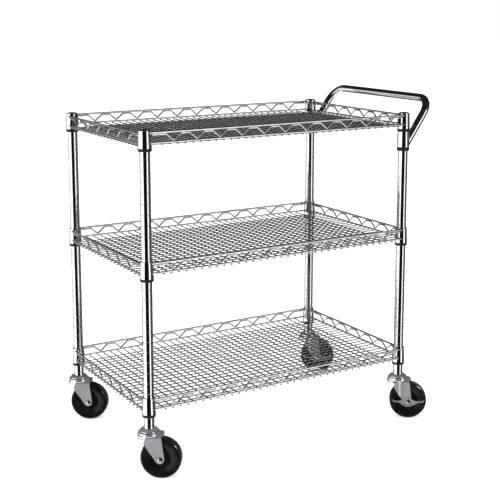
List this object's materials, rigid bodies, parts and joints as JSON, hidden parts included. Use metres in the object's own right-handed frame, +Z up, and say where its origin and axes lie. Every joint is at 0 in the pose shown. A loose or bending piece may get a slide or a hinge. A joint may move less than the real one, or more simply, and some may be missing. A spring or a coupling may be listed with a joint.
{
  "type": "wire shelf cart",
  "caption": "Chrome wire utility cart: wire shelves clipped to grooved round posts, a sloping tube push handle and swivel casters, some with a side brake.",
  "frame": {"origin": "on the floor, midway between the axes of the four posts", "axes": "+X along the long side towards the push handle, +Y across the cart, +Z up"},
  "size_m": [0.8647, 0.523, 0.8621],
  "materials": {
    "chrome_tube": "bright polished chrome plate",
    "chrome_rail": "bright chrome plate on drawn wire",
    "chrome_wire": "chrome plate on thin drawn wire",
    "zinc_steel": "satin zinc plate on pressed steel",
    "bright_steel": "turned steel, bright zinc",
    "sleeve_plastic": "moulded black nylon",
    "cap_plastic": "black moulded cap, low dome",
    "tread_rubber": "smooth black rubber, slight sheen",
    "hub_plastic": "black moulded polymer, slight sheen"
  },
  "bodies": {
    "cart": {"back_left_caster_stem": "zinc_steel", "back_left_post": "chrome_tube", "back_right_caster_stem": "zinc_steel", "back_right_post": "chrome_tube", "bottom_shelf_collars": "chrome_tube", "bottom_shelf_cross_wires": "chrome_wire", "bottom_shelf_long_wires": "chrome_wire", "bottom_shelf_rails": "chrome_rail", "bottom_shelf_zigzag_wires": "chrome_rail", "front_left_caster_stem": "zinc_steel", "front_left_post": "chrome_tube", "front_right_caster_stem": "zinc_steel", "front_right_post": "chrome_tube", "handle_bar": "chrome_tube", "handle_collars": "chrome_tube", "middle_shelf_collars": "chrome_tube", "middle_shelf_cross_wires": "chrome_wire", "middle_shelf_long_wires": "chrome_wire", "middle_shelf_rails": "chrome_rail", "middle_shelf_zigzag_wires": "chrome_rail", "post_caps": "cap_plastic", "split_sleeves": "sleeve_plastic", "stem_inserts": "bright_steel", "top_shelf_collars": "chrome_tube", "top_shelf_cross_wires": "chrome_wire", "top_shelf_long_wires": "chrome_wire", "top_shelf_rails": "chrome_rail", "top_shelf_zigzag_wires": "chrome_rail"},
    "front_left_swivel": {"front_left_caster_fork": "zinc_steel", "front_left_caster_balls": "bright_steel", "front_left_axle_bush": "bright_steel", "front_left_axle_bolt": "bright_steel", "front_left_axle_nut": "bright_steel"},
    "front_left_wheel": {"front_left_wheel_hub": "hub_plastic", "front_left_wheel_tyre": "tread_rubber"},
    "front_right_swivel": {"front_right_caster_fork": "zinc_steel", "front_right_caster_balls": "bright_steel", "front_right_axle_bush": "bright_steel", "front_right_axle_bolt": "bright_steel", "front_right_axle_nut": "bright_steel", "front_right_brake_cam": "zinc_steel"},
    "front_right_wheel": {"front_right_wheel_hub": "hub_plastic", "front_right_wheel_tyre": "tread_rubber"},
    "front_right_pedal": {"front_right_brake_pedal": "zinc_steel"},
    "back_left_swivel": {"back_left_caster_fork": "zinc_steel", "back_left_caster_balls": "bright_steel", "back_left_axle_bush": "bright_steel", "back_left_axle_bolt": "bright_steel", "back_left_axle_nut": "bright_steel"},
    "back_left_wheel": {"back_left_wheel_hub": "hub_plastic", "back_left_wheel_tyre": "tread_rubber"},
    "back_right_swivel": {"back_right_caster_fork": "zinc_steel", "back_right_caster_balls": "bright_steel", "back_right_axle_bush": "bright_steel", "back_right_axle_bolt": "bright_steel", "back_right_axle_nut": "bright_steel", "back_right_brake_cam": "zinc_steel"},
    "back_right_wheel": {"back_right_wheel_hub": "hub_plastic", "back_right_wheel_tyre": "tread_rubber"},
    "back_right_pedal": {"back_right_brake_pedal": "zinc_steel"}
  },
  "joints": [
    {"name": "front_left_swivel_turn", "type": "hinge", "parent": "cart", "child": "front_left_swivel", "pos_m": [-0.368, -0.215, 0.11], "axis": [0, 0, 1], "continuous": true},
    {"name": "front_left_wheel_spin", "type": "hinge", "parent": "front_left_swivel", "child": "front_left_wheel", "pos_m": [-0.34535, -0.23146, 0.049], "axis": [0.5878, 0.809, 0], "continuous": true},
    {"name": "front_right_swivel_turn", "type": "hinge", "parent": "cart", "child": "front_right_swivel", "pos_m": [0.368, -0.215, 0.11], "axis": [0, 0, 1], "continuous": true},
    {"name": "front_right_wheel_spin", "type": "hinge", "parent": "front_right_swivel", "child": "front_right_wheel", "pos_m": [0.39065, -0.23146, 0.049], "axis": [0.5878, 0.809, 0], "continuous": true},
    {"name": "front_right_brake_press", "type": "hinge", "parent": "front_right_swivel", "child": "front_right_pedal", "pos_m": [0.39065, -0.23146, 0.049], "axis": [0.5878, 0.809, 0], "range_deg": [-15, 15]},
    {"name": "back_left_swivel_turn", "type": "hinge", "parent": "cart", "child": "back_left_swivel", "pos_m": [-0.368, 0.215, 0.11], "axis": [0, 0, 1], "continuous": true},
    {"name": "back_left_wheel_spin", "type": "hinge", "parent": "back_left_swivel", "child": "back_left_wheel", "pos_m": [-0.34535, 0.19854, 0.049], "axis": [0.5878, 0.809, 0], "continuous": true},
    {"name": "back_right_swivel_turn", "type": "hinge", "parent": "cart", "child": "back_right_swivel", "pos_m": [0.368, 0.215, 0.11], "axis": [0, 0, 1], "continuous": true},
    {"name": "back_right_wheel_spin", "type": "hinge", "parent": "back_right_swivel", "child": "back_right_wheel", "pos_m": [0.39065, 0.19854, 0.049], "axis": [0.5878, 0.809, 0], "continuous": true},
    {"name": "back_right_brake_press", "type": "hinge", "parent": "back_right_swivel", "child": "back_right_pedal", "pos_m": [0.39065, 0.19854, 0.049], "axis": [0.5878, 0.809, 0], "range_deg": [-15, 15]}
  ]
}
